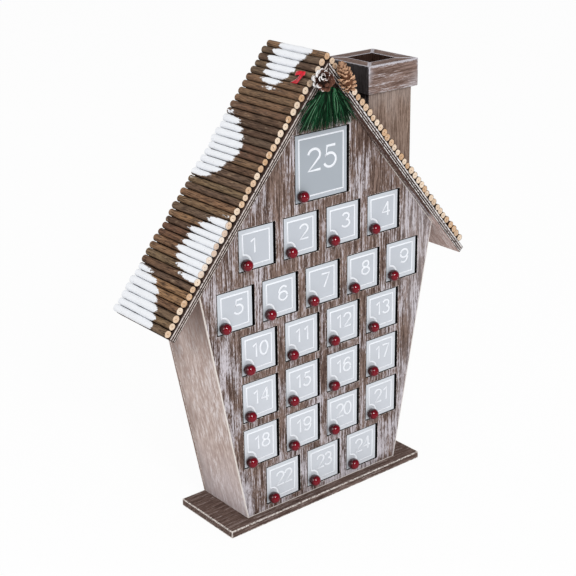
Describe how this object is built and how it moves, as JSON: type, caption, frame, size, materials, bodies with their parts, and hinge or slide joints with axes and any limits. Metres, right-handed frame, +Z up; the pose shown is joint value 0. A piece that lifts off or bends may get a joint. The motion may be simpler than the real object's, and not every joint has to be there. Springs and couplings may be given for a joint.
{
  "type": "wooden advent calendar",
  "caption": "House-shaped wooden advent calendar: leaning walls, steep twig-covered roof with chimney, numbered hinged doors with bead knobs over small compartments.",
  "frame": {"origin": "centre of the base board's flat underside", "axes": "+Z up, the doors face -Y, +X to the right as seen from the front"},
  "size_m": [0.319, 0.0939, 0.3861],
  "materials": {
    "stained_wood": "brushed brown stain with worn white edges",
    "door_paint": "matt light grey paint with white print; the bead knob is glossy dark red",
    "twig_bark": "natural bark with white paint patches",
    "cone_wood": "dry woody scales",
    "needle_green": "soft artificial needles",
    "ribbon_red": "satin",
    "pin_steel": "bright brads"
  },
  "bodies": {
    "house": {"back_panel": "stained_wood", "base_board": "stained_wood", "chimney_cap": "stained_wood", "chimney_front_board": "stained_wood", "chimney_left_board": "stained_wood", "chimney_rear_board": "stained_wood", "chimney_right_board": "stained_wood", "dividers_row_1": "stained_wood", "dividers_row_2": "stained_wood", "dividers_row_3": "stained_wood", "dividers_row_4": "stained_wood", "dividers_row_5": "stained_wood", "dividers_row_6": "stained_wood", "front_panel": "stained_wood", "hinge_pins": "pin_steel", "left_roof_board": "stained_wood", "left_roof_twigs": "twig_bark", "left_wall": "stained_wood", "pine_sprig": "needle_green", "plain_pine_cone": "cone_wood", "ribbon": "ribbon_red", "right_roof_board": "stained_wood", "right_roof_twigs": "twig_bark", "right_wall": "stained_wood", "shelf_1": "stained_wood", "shelf_2": "stained_wood", "shelf_3": "stained_wood", "shelf_4": "stained_wood", "shelf_5": "stained_wood", "shelf_6": "stained_wood", "snowy_pine_cone": "cone_wood"},
    "door_01_body": {"door_01": "door_paint"},
    "door_02_body": {"door_02": "door_paint"},
    "door_03_body": {"door_03": "door_paint"},
    "door_04_body": {"door_04": "door_paint"},
    "door_05_body": {"door_05": "door_paint"},
    "door_06_body": {"door_06": "door_paint"},
    "door_07_body": {"door_07": "door_paint"},
    "door_08_body": {"door_08": "door_paint"},
    "door_09_body": {"door_09": "door_paint"},
    "door_10_body": {"door_10": "door_paint"},
    "door_11_body": {"door_11": "door_paint"},
    "door_12_body": {"door_12": "door_paint"},
    "door_13_body": {"door_13": "door_paint"},
    "door_14_body": {"door_14": "door_paint"},
    "door_15_body": {"door_15": "door_paint"},
    "door_16_body": {"door_16": "door_paint"},
    "door_17_body": {"door_17": "door_paint"},
    "door_18_body": {"door_18": "door_paint"},
    "door_19_body": {"door_19": "door_paint"},
    "door_20_body": {"door_20": "door_paint"},
    "door_21_body": {"door_21": "door_paint"},
    "door_22_body": {"door_22": "door_paint"},
    "door_23_body": {"door_23": "door_paint"},
    "door_24_body": {"door_24": "door_paint"},
    "door_25_body": {"door_25": "door_paint"}
  },
  "joints": [
    {"name": "door_01_hinge", "type": "hinge", "parent": "house", "child": "door_01_body", "pos_m": [-0.053, -0.025, 0.2423], "axis": [0, 0, 1], "range_deg": [0, 110]},
    {"name": "door_02_hinge", "type": "hinge", "parent": "house", "child": "door_02_body", "pos_m": [-0.0083, -0.025, 0.2423], "axis": [0, 0, 1], "range_deg": [0, 110]},
    {"name": "door_03_hinge", "type": "hinge", "parent": "house", "child": "door_03_body", "pos_m": [0.0364, -0.025, 0.2423], "axis": [0, 0, 1], "range_deg": [0, 110]},
    {"name": "door_04_hinge", "type": "hinge", "parent": "house", "child": "door_04_body", "pos_m": [0.0811, -0.025, 0.2423], "axis": [0, 0, 1], "range_deg": [0, 110]},
    {"name": "door_05_hinge", "type": "hinge", "parent": "house", "child": "door_05_body", "pos_m": [-0.07535, -0.025, 0.1953], "axis": [0, 0, 1], "range_deg": [0, 110]},
    {"name": "door_06_hinge", "type": "hinge", "parent": "house", "child": "door_06_body", "pos_m": [-0.03065, -0.025, 0.1953], "axis": [0, 0, 1], "range_deg": [0, 110]},
    {"name": "door_07_hinge", "type": "hinge", "parent": "house", "child": "door_07_body", "pos_m": [0.01405, -0.025, 0.1953], "axis": [0, 0, 1], "range_deg": [0, 110]},
    {"name": "door_08_hinge", "type": "hinge", "parent": "house", "child": "door_08_body", "pos_m": [0.05875, -0.025, 0.1953], "axis": [0, 0, 1], "range_deg": [0, 110]},
    {"name": "door_09_hinge", "type": "hinge", "parent": "house", "child": "door_09_body", "pos_m": [0.10345, -0.025, 0.1953], "axis": [0, 0, 1], "range_deg": [0, 110]},
    {"name": "door_10_hinge", "type": "hinge", "parent": "house", "child": "door_10_body", "pos_m": [-0.053, -0.025, 0.1538], "axis": [0, 0, 1], "range_deg": [0, 110]},
    {"name": "door_11_hinge", "type": "hinge", "parent": "house", "child": "door_11_body", "pos_m": [-0.0083, -0.025, 0.1538], "axis": [0, 0, 1], "range_deg": [0, 110]},
    {"name": "door_12_hinge", "type": "hinge", "parent": "house", "child": "door_12_body", "pos_m": [0.0364, -0.025, 0.1538], "axis": [0, 0, 1], "range_deg": [0, 110]},
    {"name": "door_13_hinge", "type": "hinge", "parent": "house", "child": "door_13_body", "pos_m": [0.0811, -0.025, 0.1538], "axis": [0, 0, 1], "range_deg": [0, 110]},
    {"name": "door_14_hinge", "type": "hinge", "parent": "house", "child": "door_14_body", "pos_m": [-0.053, -0.025, 0.1123], "axis": [0, 0, 1], "range_deg": [0, 110]},
    {"name": "door_15_hinge", "type": "hinge", "parent": "house", "child": "door_15_body", "pos_m": [-0.0083, -0.025, 0.1123], "axis": [0, 0, 1], "range_deg": [0, 110]},
    {"name": "door_16_hinge", "type": "hinge", "parent": "house", "child": "door_16_body", "pos_m": [0.0364, -0.025, 0.1123], "axis": [0, 0, 1], "range_deg": [0, 110]},
    {"name": "door_17_hinge", "type": "hinge", "parent": "house", "child": "door_17_body", "pos_m": [0.0811, -0.025, 0.1123], "axis": [0, 0, 1], "range_deg": [0, 110]},
    {"name": "door_18_hinge", "type": "hinge", "parent": "house", "child": "door_18_body", "pos_m": [-0.053, -0.025, 0.0708], "axis": [0, 0, 1], "range_deg": [0, 110]},
    {"name": "door_19_hinge", "type": "hinge", "parent": "house", "child": "door_19_body", "pos_m": [-0.0083, -0.025, 0.0708], "axis": [0, 0, 1], "range_deg": [0, 110]},
    {"name": "door_20_hinge", "type": "hinge", "parent": "house", "child": "door_20_body", "pos_m": [0.0364, -0.025, 0.0708], "axis": [0, 0, 1], "range_deg": [0, 110]},
    {"name": "door_21_hinge", "type": "hinge", "parent": "house", "child": "door_21_body", "pos_m": [0.0811, -0.025, 0.0708], "axis": [0, 0, 1], "range_deg": [0, 110]},
    {"name": "door_22_hinge", "type": "hinge", "parent": "house", "child": "door_22_body", "pos_m": [-0.03065, -0.025, 0.0293], "axis": [0, 0, 1], "range_deg": [0, 110]},
    {"name": "door_23_hinge", "type": "hinge", "parent": "house", "child": "door_23_body", "pos_m": [0.01405, -0.025, 0.0293], "axis": [0, 0, 1], "range_deg": [0, 110]},
    {"name": "door_24_hinge", "type": "hinge", "parent": "house", "child": "door_24_body", "pos_m": [0.05875, -0.025, 0.0293], "axis": [0, 0, 1], "range_deg": [0, 110]},
    {"name": "door_25_hinge", "type": "hinge", "parent": "house", "child": "door_25_body", "pos_m": [0.0239, -0.025, 0.2963], "axis": [0, 0, 1], "range_deg": [0, 110]}
  ]
}
